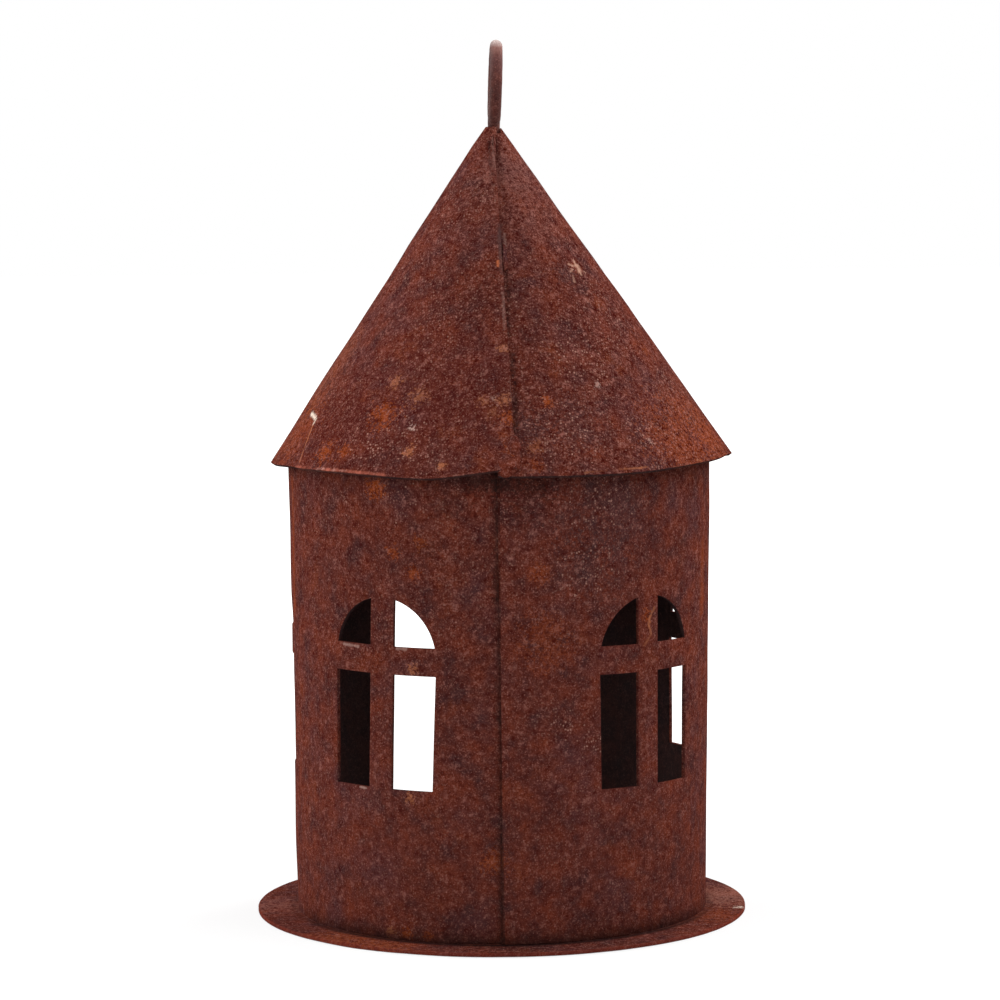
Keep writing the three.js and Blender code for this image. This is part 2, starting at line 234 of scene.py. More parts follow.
def dent(piece, pattern, depth, level=0.5, **settings):
    """Makes a piece uneven. At level 1 the pattern only presses in, and at 0 it only swells."""
    settings.update(texture=pattern, texture_coords="LOCAL", strength=depth, mid_level=level)
    fix(piece, "DISPLACE", **settings)


SKIN = (
    (0.33, (0.058, 0.0206, 0.0195)),
    (0.50, (0.106, 0.0262, 0.0184)),
    (0.70, (0.157, 0.0336, 0.0180)),
)
VIOLET_HAZE = (0.078, 0.032, 0.035)
BLOOM = (0.24, 0.050, 0.012)
RAISED_GRIT = (0.36, 0.145, 0.118)
PIT = (0.040, 0.0015, 0.0008)
SPECK = (0.40, 0.205, 0.160)
# Dark for soot and for painted shade: beside laps, under the eave, at the foot and where the light is
# weaker.
SOOT_AND_PAINTED_SHADE = (0.020, 0.009, 0.008)
INSIDE_SHADE_GREY = (0.0215, 0.0180, 0.0185)
ORANGE = (0.34, 0.066, 0.013)
CHALK = (0.70, 0.560, 0.460)
MOTTLE_SCALE = 170
HAZE_SCALE = 75
BLOOM_SCALE = 95
RAGGED_SCALE = 1200
COARSE_SCALE = 700
COARSE_LIGHT = 0.38
COARSE_DARK = 0.58
FINE_SCALE = 2500
FINE_LIGHT = 0.72
FINE_DARK = 0.65
SPECK_SCALE = 1750
SPECK_CLUMP_SCALE = 60
LUMP_SCALE = 420
LUMP_HEIGHT = 0.0005
GRIT_HEIGHT = 0.00025
SPOT_RAGGED = 7
LINE_RAGGED = 2
LINE_CORE = 0.2
LINE_SIDE_FROM = -0.00015
LINE_SIDE_TO = 0.00005
FROST_SHARE = 0.9
SEED_STEPS = (0.37, 0.71, 0.13)


def rust(
    name,
    seed,
    grain=1,
    orange=0.5,
    specks=0.5,
    relief=1,
    shine=0,
    painted_inside_shade=0,
    painted_left_shade=0,
    smoother=None,
    spots=(),
    lines=(),
    bands=(),
    frosts=(),
):
    """Rusted steel: a brick brown skin, mottled from violet brown to red, as coarse as sandpaper,
    with pits, pale grains and orange bloom. Smoother takes the grain from a share of its strength at
    one place to all of it at another. Marks lie at their own places: spots under the grain, frosts
    of pale grains, and over it lines, and bands at one height or radius. A line with a side shows
    only there, and a band can come in between two places in depth."""
    paint = bpy.data.materials.new(name)
    paint.use_nodes = True
    nodes = paint.node_tree.nodes
    links = paint.node_tree.links
    shader = nodes["Principled BSDF"]
    place = nodes.new("ShaderNodeTexCoord").outputs["Object"]
    shift = nodes.new("ShaderNodeMapping")
    shift.inputs["Location"].default_value = tuple(seed * step for step in SEED_STEPS)
    links.new(place, shift.inputs["Vector"])

    def cloud(scale, detail, rough):
        """Noise between 0 and 1."""
        noise = nodes.new("ShaderNodeTexNoise")
        noise.inputs["Scale"].default_value = scale
        noise.inputs["Detail"].default_value = detail
        noise.inputs["Roughness"].default_value = rough
        links.new(shift.outputs["Vector"], noise.inputs["Vector"])
        return noise.outputs["Fac"]

    def span(value, low, high, to_low=0, to_high=1):
        """Takes a value from one range to another and keeps it inside."""
        ramp = nodes.new("ShaderNodeMapRange")
        ramp.inputs["From Min"].default_value = low
        ramp.inputs["From Max"].default_value = high
        ramp.inputs["To Min"].default_value = to_low
        ramp.inputs["To Max"].default_value = to_high
        links.new(value, ramp.inputs["Value"])
        return ramp.outputs["Result"]

    def sums(operation, *values):
        """Arithmetic on values, each a number or a socket."""
        result = nodes.new("ShaderNodeMath")
        result.operation = operation
        for socket, value in zip(result.inputs, values):
            if isinstance(value, (int, float)):
                socket.default_value = value
            else:
                links.new(value, socket)
        return result.outputs[0]

    def vectors(operation, *values):
        """Arithmetic on vectors, each written out or a socket."""
        result = nodes.new("ShaderNodeVectorMath")
        result.operation = operation
        for socket, value in zip(result.inputs, values):
            if isinstance(value, (tuple, Vector)):
                socket.default_value = value
            else:
                links.new(value, socket)
        return result

    def over(under, tone, share):
        """Lays a tone over a colour."""
        mix = nodes.new("ShaderNodeMix")
        mix.data_type = "RGBA"
        links.new(share, mix.inputs["Factor"])
        links.new(under, mix.inputs[6])
        mix.inputs[7].default_value = (*tone, 1)
        return mix.outputs[2]

    ragged = cloud(RAGGED_SCALE, detail=4, rough=0.75)

    def roughened(away, reach):
        """A distance made ragged over that reach."""
        return sums("MULTIPLY_ADD", ragged, reach, sums("SUBTRACT", away, reach / 2))

    def around(centre, size):
        """1 in a ragged spot and 0 outside."""
        away = vectors("DISTANCE", place, centre).outputs["Value"]
        return span(roughened(away, size * SPOT_RAGGED), size, size / 2)

    def along(start, end, width, side=0):
        """1 on a ragged line and 0 off it, or off the side of it that is wanted."""
        way = Vector(end) - Vector(start)
        from_start = vectors("SUBTRACT", place, start).outputs["Vector"]
        share = vectors("DOT_PRODUCT", from_start, way / way.length_squared).outputs["Value"]
        reach = vectors("SCALE", way)
        links.new(span(share, 0, 1), reach.inputs["Scale"])
        apart = vectors("SUBTRACT", from_start, reach.outputs["Vector"]).outputs["Vector"]
        away = vectors("LENGTH", apart).outputs["Value"]
        near = span(roughened(away, width * LINE_RAGGED), width, width * LINE_CORE)
        if side:
            aside = vectors("DOT_PRODUCT", apart, (side, 0, 0)).outputs["Value"]
            near = sums("MULTIPLY", near, span(aside, LINE_SIDE_FROM, LINE_SIDE_TO))
        return near

    parted = nodes.new("ShaderNodeSeparateXYZ")
    links.new(place, parted.inputs["Vector"])
    level = vectors("MULTIPLY", place, (1, 1, 0))
    measures = {
        "side": parted.outputs["X"],
        "height": parted.outputs["Z"],
        "radius": vectors("LENGTH", level.outputs["Vector"]).outputs["Value"],
    }
    strength = grain
    if smoother:
        measure, from_place, to_place, share = smoother
        strength = span(measures[measure], from_place, to_place, share * grain, grain)

    # The skin, with violet haze and orange bloom in patches, and the spots on it.
    mottle = cloud(MOTTLE_SCALE, detail=6, rough=0.62)
    skin = nodes.new("ShaderNodeValToRGB")
    stops = skin.color_ramp.elements
    stops.new(0.5)
    for stop, (position, tone) in zip(stops, SKIN):
        stop.position = position
        stop.color = (*tone, 1)
    links.new(mottle, skin.inputs["Fac"])
    colour = skin.outputs["Color"]
    haze = cloud(HAZE_SCALE, detail=5, rough=0.6)
    colour = over(colour, VIOLET_HAZE, span(haze, 0.52, 0.68, to_high=0.5))
    bloom = cloud(BLOOM_SCALE, detail=5, rough=0.7)
    colour = over(colour, BLOOM, span(bloom, 0.58, 0.72, to_high=orange))
    for centre, size, tone, share in spots:
        colour = over(colour, tone, sums("MULTIPLY", around(centre, size), share))

    # The grain: coarse and fine grit, pale where it stands up and dark in its pits.
    coarse = cloud(COARSE_SCALE, detail=2, rough=0.6)
    fine = cloud(FINE_SCALE, detail=2, rough=0.7)
    for grit, light, dark in ((coarse, COARSE_LIGHT, COARSE_DARK), (fine, FINE_LIGHT, FINE_DARK)):
        raised = sums("MULTIPLY", span(grit, 0.57, 0.75, to_high=light), strength)
        pitted = sums("MULTIPLY", span(grit, 0.48, 0.30, to_high=dark), strength)
        colour = over(colour, RAISED_GRIT, raised)
        colour = over(colour, PIT, pitted)

    # Pale specks: some cells of a fine net, more of them in clumps, and most in the frosts.
    cells = nodes.new("ShaderNodeTexVoronoi")
    cells.inputs["Scale"].default_value = SPECK_SCALE
    links.new(shift.outputs["Vector"], cells.inputs["Vector"])
    chance = nodes.new("ShaderNodeSeparateColor")
    links.new(cells.outputs["Color"], chance.inputs["Color"])
    clumps = cloud(SPECK_CLUMP_SCALE, detail=4, rough=0.6)
    strewn = span(clumps, 0.42, 0.62, 0.2 * specks, 0.7 * specks)
    for centre, size in frosts:
        strewn = sums("MAXIMUM", strewn, sums("MULTIPLY", around(centre, size), FROST_SHARE))
    bright = sums("MULTIPLY", span(cells.outputs["Distance"], 0.55, 0.25), strewn)
    bright = sums("MULTIPLY", bright, sums("MULTIPLY", span(chance.outputs[0], 0.7, 1), strength))
    colour = over(colour, SPECK, bright)

    # What lies over the grain: lines, bands, and painted shade on faces that look inwards or to the left.
    for start, end, width, tone, share, *side in lines:
        colour = over(colour, tone, sums("MULTIPLY", along(start, end, width, *side), share))
    for measure, centre, width, tone, share, *comes_in in bands:
        away = sums("ABSOLUTE", sums("SUBTRACT", measures[measure], centre))
        near = span(roughened(away, width), width, 0, to_high=share)
        if comes_in:
            near = sums("MULTIPLY", near, span(parted.outputs["Y"], *comes_in))
        colour = over(colour, tone, near)
    # Painted shade on the faces that look into the tower or into the roof.
    if painted_inside_shade:
        facing = nodes.new("ShaderNodeNewGeometry").outputs["True Normal"]
        outward = vectors("DOT_PRODUCT", facing, place).outputs["Value"]
        colour = over(colour, INSIDE_SHADE_GREY, span(outward, 0, -0.01, to_high=painted_inside_shade))
    # Painted shade on the faces that look to the left.
    if painted_left_shade:
        facing = nodes.new("ShaderNodeNewGeometry").outputs["Normal"]
        leftward = vectors("DOT_PRODUCT", facing, (-1, 0, 0)).outputs["Value"]
        colour = over(colour, SOOT_AND_PAINTED_SHADE, span(leftward, 0.3, 0.95, to_high=painted_left_shade))
    links.new(colour, shader.inputs["Base Color"])

    # The surface: dull, a little less so where it is red, with lumps and fine grit to the touch.
    shader.inputs["Specular IOR Level"].default_value = shine
    links.new(span(mottle, 0.3, 0.7, 0.92, 0.7), shader.inputs["Roughness"])
    lumps = nodes.new("ShaderNodeBump")
    lumps.inputs["Strength"].default_value = 0.6
    lumps.inputs["Distance"].default_value = LUMP_HEIGHT * relief
    links.new(cloud(LUMP_SCALE, detail=4, rough=0.6), lumps.inputs["Height"])
    bump = nodes.new("ShaderNodeBump")
    bump.inputs["Strength"].default_value = 0.8
    bump.inputs["Distance"].default_value = GRIT_HEIGHT * relief
    links.new(fine, bump.inputs["Height"])
    links.new(lumps.outputs["Normal"], bump.inputs["Normal"])
    links.new(bump.outputs["Normal"], shader.inputs["Normal"])
    return paint


bpy.ops.object.select_all(action="DESELECT")
bpy.ops.mesh.primitive_cylinder_add(
    vertices=PLATE_SIDES,
    radius=PLATE_RADIUS,
    depth=plate_size.z,
    location=(plate_low + plate_high) / 2,
)
plate = bpy.context.object
plate.name = "plate"
bpy.ops.object.transform_apply()
round_edges(plate, PLATE_ROUNDING, PLATE_ROUNDING_STEPS, SHARP_EDGE)
bpy.ops.object.mode_set(mode="EDIT")
bpy.ops.mesh.select_mode(type="FACE")
bpy.ops.mesh.select_all(action="DESELECT")
bpy.ops.object.mode_set(mode="OBJECT")
for face in plate.data.polygons:
    face.select = len(face.vertices) == PLATE_SIDES
bpy.ops.object.mode_set(mode="EDIT")
for ring in range(PLATE_RINGS):
    bpy.ops.mesh.inset(thickness=PLATE_RING, use_individual=True)
bpy.ops.object.mode_set(mode="OBJECT")
dent(plate, dents("plate_unevenness", PLATE_DENT_SIZE), PLATE_DENT, ONLY_INWARDS)
bpy.ops.object.shade_smooth_by_angle(angle=SMOOTH_EDGE)
plate.data.materials.append(
    rust(
        "rusted_plate",
        seed=3,
        grain=1.1,
        orange=0.45,
        specks=0.6,
        relief=1.6,
        # The pale spots at the left and the right are painted sheen, and the dark ones at the front are
        # painted shade.
        spots=(
            ((-0.0400, -0.0390, plate_top), 0.0080, WARM_RUST, 0.7),
            ((-0.0310, -0.0480, plate_top), 0.0070, WARM_RUST, 0.7),
            ((-0.0570, 0.0020, plate_top), 0.0100, PAINTED_SHEEN_LEFT, 0.45),
            ((0.0230, -0.0540, plate_top), 0.0090, SOOT_AND_PAINTED_SHADE, 0.35),
            ((0.0000, -0.0570, plate_top), 0.0100, SOOT_AND_PAINTED_SHADE, 0.6),
            ((0.0560, 0.0030, plate_top), 0.0120, PAINTED_SHEEN_RIGHT, 0.55),
            ((0.0520, -0.0220, plate_top), 0.0090, ORANGE, 0.3),
            ((0.0580, -0.0120, plate_top), 0.0014, CHALK, 0.9),
        ),
        # Painted shade in a ring where the wall stands on the plate, darkest at the front, and a painted
        # red highlight along the rim.
        bands=(
            ("radius", FOOT_SHADE_RADIUS, 0.0018, SOOT_AND_PAINTED_SHADE, 0.35),
            ("radius", FOOT_SHADE_RADIUS, 0.0018, SOOT_AND_PAINTED_SHADE, 0.95, -0.012, -0.036),
            ("radius", PLATE_RADIUS, 0.0007, RIM_RED_HIGHLIGHT, 0.5),
        ),
        frosts=(((0.0550, -0.0030, plate_top), 0.0080),),
    )
)
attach(plate, "root")
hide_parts("base_plate")


# Tower wall: one blank of sheet steel with four arched windows and a doorway cut out of it flat,
# then rolled into a slightly flared tube whose ends lap at the seam. Its foot is welded to the
# plate, and its top edge is cut to the seat of the roof.
SHEET = 0.001
WALL_FOOT_RADIUS = 0.0507
WALL_TOP_RADIUS = 0.0519
WALL_RADIUS = (WALL_FOOT_RADIUS + WALL_TOP_RADIUS) / 2
WALL_TOP = 0.1175
WALL_TOP_LEAN = 0.00142
WALL_TOP_LAP_DROP = 0.0021
WALL_LAP = 0.0088
WALL_EASE = 0.016
LAP_STEP = 0.0012
WALL_SEAM_TURN = math.radians(1.5)
SHEET_ROUNDING = 0.00018
SHEET_ROUNDING_STEPS = 2
WALL_SLICE = math.radians(2)
WALL_ROW = 0.004
WALL_DENT = 0.0006
WALL_DENT_SIZE = 0.03
EAVE_SHADE_HEIGHT = 0.1165
TOUCH = 1e-5
TAN = (0.40, 0.138, 0.066)
PALE = (0.50, 0.320, 0.270)
VIOLET = (0.060, 0.033, 0.034)
# Left and right stretch the two halves of a window, lean tilts its uprights and climb its bars, rise
# lifts it, and tall stretches it upwards from its sill.
WINDOWS = (
    dict(turn=40.22, left=0.970, right=1.035, lean=-0.008, climb=-0.024, rise=-0.0003, tall=1),
    dict(turn=101.4, left=1, right=1, lean=0, climb=-0.024, rise=0, tall=0.977),
    dict(turn=259.1, left=1, right=1, lean=0, climb=0.024, rise=0, tall=1),
    dict(turn=322.57, left=0.965, right=0.956, lean=0.033, climb=0, rise=0.00027, tall=1),
)
WINDOW_WIDTH = 0.030
WINDOW_DRAW = 0.0002
WINDOW_SILL = 0.037
WINDOW_SPRING = 0.068
MULLION = 0.0065
CROSS_BAR = 0.0067
DOOR_TURN = 180.95
DOOR_LEAN = 0.029
DOOR_WIDTH = 0.062
DOOR_SILL = 0.010
DOOR_SPRING = 0.058
CUT_DEPTH = 0.010
ARCH_SIDES = 128

wall_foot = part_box("tower_wall")[0][2]
wall_sweep = 2 * math.pi + WALL_LAP / WALL_RADIUS
wall_middle_turn = WALL_SEAM_TURN + math.pi


def along_blank(turn):
    """How far along the flat blank, from its middle, a turn in degrees round the tower comes to lie."""
    return (math.radians(turn) - wall_middle_turn) * WALL_RADIUS


def box(name, low, high):
    """A block between two corners."""
    bpy.ops.object.select_all(action="DESELECT")
    low = Vector(low)
    high = Vector(high)
    bpy.ops.mesh.primitive_cube_add(size=1, location=(low + high) / 2, scale=high - low)
    bpy.ops.object.transform_apply()
    bpy.context.object.name = name
    return bpy.context.object


def arch(name, radius, spring):
    """A round bar across the sheet, for the head of an opening that springs at that height."""
    bpy.ops.object.select_all(action="DESELECT")
    bpy.ops.mesh.primitive_cylinder_add(
        vertices=ARCH_SIDES,
        radius=radius,
        depth=CUT_DEPTH,
        location=(0, 0, spring),
        rotation=(math.pi / 2, 0, 0),
    )
    bpy.ops.object.transform_apply()
    bpy.context.object.name = name
    return bpy.context.object


def cut_off(plane_place, plane_normal):
    """Cuts away what lies behind the plane and closes the cut."""
    bpy.ops.mesh.select_all(action="SELECT")
    bpy.ops.mesh.bisect(plane_co=plane_place, plane_no=plane_normal, use_fill=True, clear_inner=True)


def pick(piece, *others):
    """Selects these alone, with the first of them active."""
    bpy.ops.object.select_all(action="DESELECT")
    for picked in (piece, *others):
        picked.select_set(True)
    bpy.context.view_layer.objects.active = piece


def set_in_blank(tool, turn, lean, lean_height, climb=0, rise=0, tall=1):
    """Tilts a cutting tool about its middle at that height and moves it along the blank."""
    askew = Matrix.Identity(4)
    askew[0][2] = lean
    askew[0][3] = -lean * lean_height
    askew[2][0] = climb
    askew[2][2] = tall
    askew[2][3] = rise + (1 - tall) * WINDOW_SILL
    tool.data.transform(Matrix.Translation((along_blank(turn), 0, 0)) @ askew)


wall_length = wall_sweep * WALL_RADIUS
wall = box("wall", (-wall_length / 2, 0, wall_foot), (wall_length / 2, SHEET, WALL_TOP))

window_tool = arch("window_tool", WINDOW_WIDTH / 2, WINDOW_SPRING)
bpy.ops.object.mode_set(mode="EDIT")
cut_off((0, 0, WINDOW_SPRING + CROSS_BAR / 2), (0, 0, 1))
cut_off((MULLION / 2, 0, 0), (1, 0, 0))
bpy.ops.object.mode_set(mode="OBJECT")
pane_tool = box(
    "pane_tool",
    (MULLION / 2, -CUT_DEPTH / 2, WINDOW_SILL),
    (WINDOW_WIDTH / 2, CUT_DEPTH / 2, WINDOW_SPRING - CROSS_BAR / 2),
)
choose(pane_tool, lambda place: place.x > WINDOW_WIDTH / 2 - TOUCH and place.z < WINDOW_SILL + TOUCH)
bpy.ops.transform.translate(value=(-WINDOW_DRAW, 0, 0))
bpy.ops.object.mode_set(mode="OBJECT")
pick(window_tool, pane_tool)
bpy.ops.object.join()
fix(window_tool, "MIRROR", use_axis=(True, False, False), use_mirror_merge=False)

wall_tools = [
    box(
        "door_tool",
        (-DOOR_WIDTH / 2, -CUT_DEPTH / 2, DOOR_SILL),
        (DOOR_WIDTH / 2, CUT_DEPTH / 2, DOOR_SPRING),
    ),
    arch("door_arch_tool", DOOR_WIDTH / 2, DOOR_SPRING),
]
for door_tool in wall_tools:
    set_in_blank(door_tool, DOOR_TURN, DOOR_LEAN, DOOR_SPRING)
window_middle = (WINDOW_SILL + WINDOW_SPRING) / 2
for window in WINDOWS:
    one_window = window_tool.copy()
    one_window.data = window_tool.data.copy()
    bpy.context.collection.objects.link(one_window)
    for vertex in one_window.data.vertices:
        if abs(vertex.co.x) > MULLION / 2 + TOUCH:
            vertex.co.x *= window["left"] if vertex.co.x < 0 else window["right"]
    set_in_blank(
        one_window,
        window["turn"],
        window["lean"],
        window_middle,
        window["climb"],
        window["rise"],
        window["tall"],
    )
    wall_tools.append(one_window)
bpy.data.objects.remove(window_tool)

pick(wall)
for wall_tool in wall_tools:
    fix(wall, "BOOLEAN", operation="DIFFERENCE", solver="EXACT", object=wall_tool)
    bpy.data.objects.remove(wall_tool)
round_edges(wall, SHEET_ROUNDING, SHEET_ROUNDING_STEPS, SHARP_EDGE)

bpy.ops.object.mode_set(mode="EDIT")
slices = round(wall_sweep / WALL_SLICE)
for step in range(1, slices):
    bpy.ops.mesh.select_all(action="SELECT")
    bpy.ops.mesh.bisect(plane_co=(wall_length * (step / slices - 0.5), 0, 0), plane_no=(1, 0, 0))
rows = round((WALL_TOP - wall_foot) / WALL_ROW)
for step in range(1, rows):
    bpy.ops.mesh.select_all(action="SELECT")
    bpy.ops.mesh.bisect(plane_co=(0, 0, wall_foot + WALL_ROW * step), plane_no=(0, 0, 1))
bpy.ops.object.mode_set(mode="OBJECT")

for end, step_out in ((-1, -LAP_STEP / 2), (1, LAP_STEP / 2)):
    choose(wall, lambda place: place.x * end > wall_length / 2 - WALL_LAP)
    bpy.ops.transform.translate(
        value=(0, step_out, 0),
        use_proportional_edit=True,
        proportional_edit_falloff="SMOOTH",
        proportional_size=WALL_EASE,
    )
    bpy.ops.object.mode_set(mode="OBJECT")
dent(wall, dents("wall_unevenness", WALL_DENT_SIZE), WALL_DENT, direction="Y")
for vertex in wall.data.vertices:
    if vertex.co.z > WALL_TOP - 2 * SHEET_ROUNDING:
        turn = vertex.co.x / WALL_RADIUS + wall_middle_turn
        past_start = abs(turn - WALL_SEAM_TURN)
        past_end = abs(turn - WALL_SEAM_TURN - 2 * math.pi)
        past_seam = min(past_start, past_end) * WALL_RADIUS
        lap_share = max(0, min(1, 2 - past_seam / WALL_LAP))
        vertex.co.z += WALL_TOP_LEAN * math.sin(turn) - WALL_TOP_LAP_DROP * lap_share
fix(wall, "SIMPLE_DEFORM", deform_method="BEND", deform_axis="Z", angle=wall_sweep)
wall_middle_height = (wall_foot + WALL_TOP) / 2
wall.data.transform(Matrix.Translation((0, -WALL_RADIUS, -wall_middle_height)))
fix(
    wall,
    "SIMPLE_DEFORM",
    deform_method="TAPER",
    deform_axis="Z",
    factor=(WALL_TOP_RADIUS - WALL_FOOT_RADIUS) / WALL_RADIUS,
)
wall.data.transform(Matrix.Translation((0, 0, wall_middle_height)))
wall.data.transform(Matrix.Rotation(wall_middle_turn, 4, "Z"))
bpy.ops.object.shade_smooth_by_angle(angle=SMOOTH_EDGE)
wall.data.materials.append(
    rust(
        "rusted_wall",
        seed=1,
        grain=1.16,
        orange=0.25,
        specks=0.5,
        painted_inside_shade=0.8,
        smoother=("height", 0.030, 0.090, 0.80),
        spots=(
            # The dark spots just under the eave are painted shade, and the two faint wide ones low down
            # darken the wall towards its foot.
            ((-0.0317, -0.0410, 0.1093), 0.0026, ORANGE, 0.7),
            ((-0.0217, -0.0469, 0.0970), 0.0016, ORANGE, 0.6),
            ((-0.0279, -0.0435, 0.0943), 0.0016, ORANGE, 0.5),
            ((-0.0234, -0.0460, 0.0898), 0.0016, ORANGE, 0.5),
            ((-0.0200, -0.0476, 0.0955), 0.0030, SOOT_AND_PAINTED_SHADE, 0.4),
            ((0.0065, -0.0512, 0.0898), 0.0026, ORANGE, 0.4),
            ((0.0079, -0.0508, 0.0738), 0.0060, ORANGE, 0.25),
            ((0.0325, -0.0399, 0.0775), 0.0014, ORANGE, 0.6),
            ((-0.0245, -0.0448, 0.0354), 0.0013, TAN, 0.7),
            ((-0.0238, -0.0455, 0.0666), 0.0012, TAN, 0.6),
            ((-0.0252, -0.0440, 0.0026), 0.0016, ORANGE, 0.7),
            ((-0.0290, -0.0415, 0.0030), 0.0014, TAN, 0.6),
            ((-0.0205, -0.0464, 0.0023), 0.0013, ORANGE, 0.6),
            ((-0.0047, -0.0507, 0.0210), 0.0030, ORANGE, 0.4),
            ((0.0166, -0.0489, 0.0948), 0.0040, SOOT_AND_PAINTED_SHADE, 0.35),
            ((0.0233, -0.0462, 0.1051), 0.0120, VIOLET, 0.45),
            ((0.0183, -0.0483, 0.0899), 0.0090, VIOLET, 0.35),
            ((0.0040, -0.0515, 0.1080), 0.0060, SOOT_AND_PAINTED_SHADE, 0.45),
            ((-0.0147, -0.0497, 0.1125), 0.0080, SOOT_AND_PAINTED_SHADE, 0.35),
            ((0.0050, -0.0504, 0.0290), 0.0090, SOOT_AND_PAINTED_SHADE, 0.12),
            ((-0.0210, -0.0462, 0.0120), 0.0090, SOOT_AND_PAINTED_SHADE, 0.16),
        ),
        lines=(
            # The first six lines are painted shade: beside the lap of the seam on its left side, and under
            # the eave by the seam.
            ((-0.0037, -0.0519, 0.1150), (-0.0034, -0.0515, 0.0835), 0.0020, SOOT_AND_PAINTED_SHADE, 0.8, -1),
            ((-0.0034, -0.0515, 0.0835), (-0.0031, -0.0511, 0.0550), 0.0016, SOOT_AND_PAINTED_SHADE, 0.6, -1),
            ((-0.0031, -0.0511, 0.0550), (-0.0028, -0.0509, 0.0263), 0.0014, SOOT_AND_PAINTED_SHADE, 0.6, -1),
            ((-0.0028, -0.0509, 0.0263), (-0.0025, -0.0506, plate_top), 0.0019, SOOT_AND_PAINTED_SHADE, 0.75, -1),
            ((-0.0096, -0.0509, 0.1114), (-0.0035, -0.0517, 0.1114), 0.0034, SOOT_AND_PAINTED_SHADE, 0.6),
            ((-0.0023, -0.0518, 0.1107), (0.0064, -0.0514, 0.1103), 0.0030, SOOT_AND_PAINTED_SHADE, 0.5),
            ((-0.0508, -0.0090, 0.1080), (-0.0508, -0.0080, 0.0770), 0.0020, ORANGE, 0.25),
            ((0.0482, -0.0180, 0.0920), (0.0480, -0.0180, 0.0760), 0.0025, ORANGE, 0.25),
            ((0.0346, -0.0381, 0.0793), (0.0334, -0.0391, 0.0773), 0.0005, TAN, 0.45),
            ((0.0334, -0.0391, 0.0773), (0.0332, -0.0393, 0.0752), 0.0006, TAN, 0.65),
            ((0.0332, -0.0393, 0.0752), (0.0338, -0.0388, 0.0732), 0.0005, TAN, 0.55),
            ((0.0338, -0.0388, 0.0732), (0.0320, -0.0402, 0.0707), 0.0005, TAN, 0.3),
            ((0.0372, -0.0351, 0.0405), (0.0395, -0.0324, 0.0407), 0.0004, PALE, 0.7),
            ((-0.0395, -0.0330, 0.0711), (-0.0362, -0.0365, 0.0710), 0.0005, PALE, 0.4),
            ((-0.0272, -0.0436, 0.0713), (-0.0251, -0.0449, 0.0713), 0.0005, PALE, 0.4),
            ((-0.0361, -0.0362, 0.0370), (-0.0347, -0.0375, 0.0369), 0.0004, PALE, 0.5),
        ),
        bands=(
            # Both bands are painted shade: at the foot where the wall meets the plate, and under the eave.
            ("height", wall_foot, 0.0035, SOOT_AND_PAINTED_SHADE, 0.65, 0.000, -0.032),
            ("height", EAVE_SHADE_HEIGHT, 0.0070, SOOT_AND_PAINTED_SHADE, 0.38),
        ),
        frosts=(
            ((0.0215, -0.0470, 0.1060), 0.0080),
            ((0.0180, -0.0484, 0.0895), 0.0070),
            ((0.0125, -0.0496, 0.0525), 0.0045),
            ((0.0182, -0.0479, 0.0481), 0.0040),
            ((-0.0255, -0.0447, 0.1060), 0.0045),
            ((-0.0390, -0.0340, 0.1045), 0.0030),
        ),
    )
)
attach(wall, "root")
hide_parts("tower_wall")


# Roof: a sector of sheet steel rolled into a steep cone. Its left end laps over its right end, the
# corners of the lap stand off the wall, and the tip closes round the wire of the loop.
EAVE_RADIUS = 0.0565
EAVE_HEIGHT = 0.1128
ROOF_HALF_ANGLE = math.radians(34.1)
TIP_RADIUS = 0.0022
ROOF_LEAN = math.radians(1)
ROOF_SHIFT = 0.00035
ROOF_SIDES = 180
ROOF_ROW = 0.004
ROOF_LAP_TURN = 18.23
ROOF_LAP_STEPS = 9
ROOF_LAP_STEP = ROOF_LAP_TURN / ROOF_LAP_STEPS
ROOF_EASE_TURN = 13.77
OVER_FROM_TURN = -18
UNDER_FROM_TURN = 14
OVER_LIFT = 0.0023
OVER_LIFT_SPAN = 0.021
UNDER_LIFT = 0.0010
UNDER_LIFT_SPAN = 0.017
SEAM_RAGGED = 0.00018
SEAM_SEED = 4
ROOF_DENT = 0.0007
ROOF_DENT_SIZE = 0.025
ROOF_SHARP_EDGE = math.radians(50)
TURN_SLACK = 0.5
SAME_PLACE = 1e-6
TIP_PINCH = (0.0005, 0, 0.0004)
TIP_PINCH_FROM = -175
TIP_PINCH_TO = -5
TIP_NOTCH = 0.0014
TIP_NOTCH_FROM = 2
TIP_NOTCH_TO = 60
EAVE_EDGE_HIGHLIGHT = (0.41, 0.115, 0.076)
RED_PAINTED_SHADE = (0.077, 0.0145, 0.0108)
FLANK_PAINTED_LIGHT = (0.26, 0.080, 0.044)
TIP_RUST = (0.23, 0.090, 0.075)
DULL_RUST = (0.20, 0.065, 0.050)
TACK_RUST = (0.36, 0.105, 0.045)
BRIGHT_RUST = (0.56, 0.150, 0.060)
SEAM_GREY = (0.085, 0.058, 0.055)
FLAKE = (0.46, 0.250, 0.180)
EAVE_ROW_SHARE = 0.75
EAVE_BEND_REACH = 1.01
EAVE_BENDS = (
    dict(turn=-50, up=0.0010, out=0, span=0.034),
    dict(turn=-73, up=0.0006, out=0, span=0.018),
    dict(turn=33, up=-0.0003, out=0, span=0.025),
    dict(turn=-94, up=-0.0001, out=-0.0001, span=0.012),
    dict(turn=86, up=-0.0009, out=0, span=0.011),
)

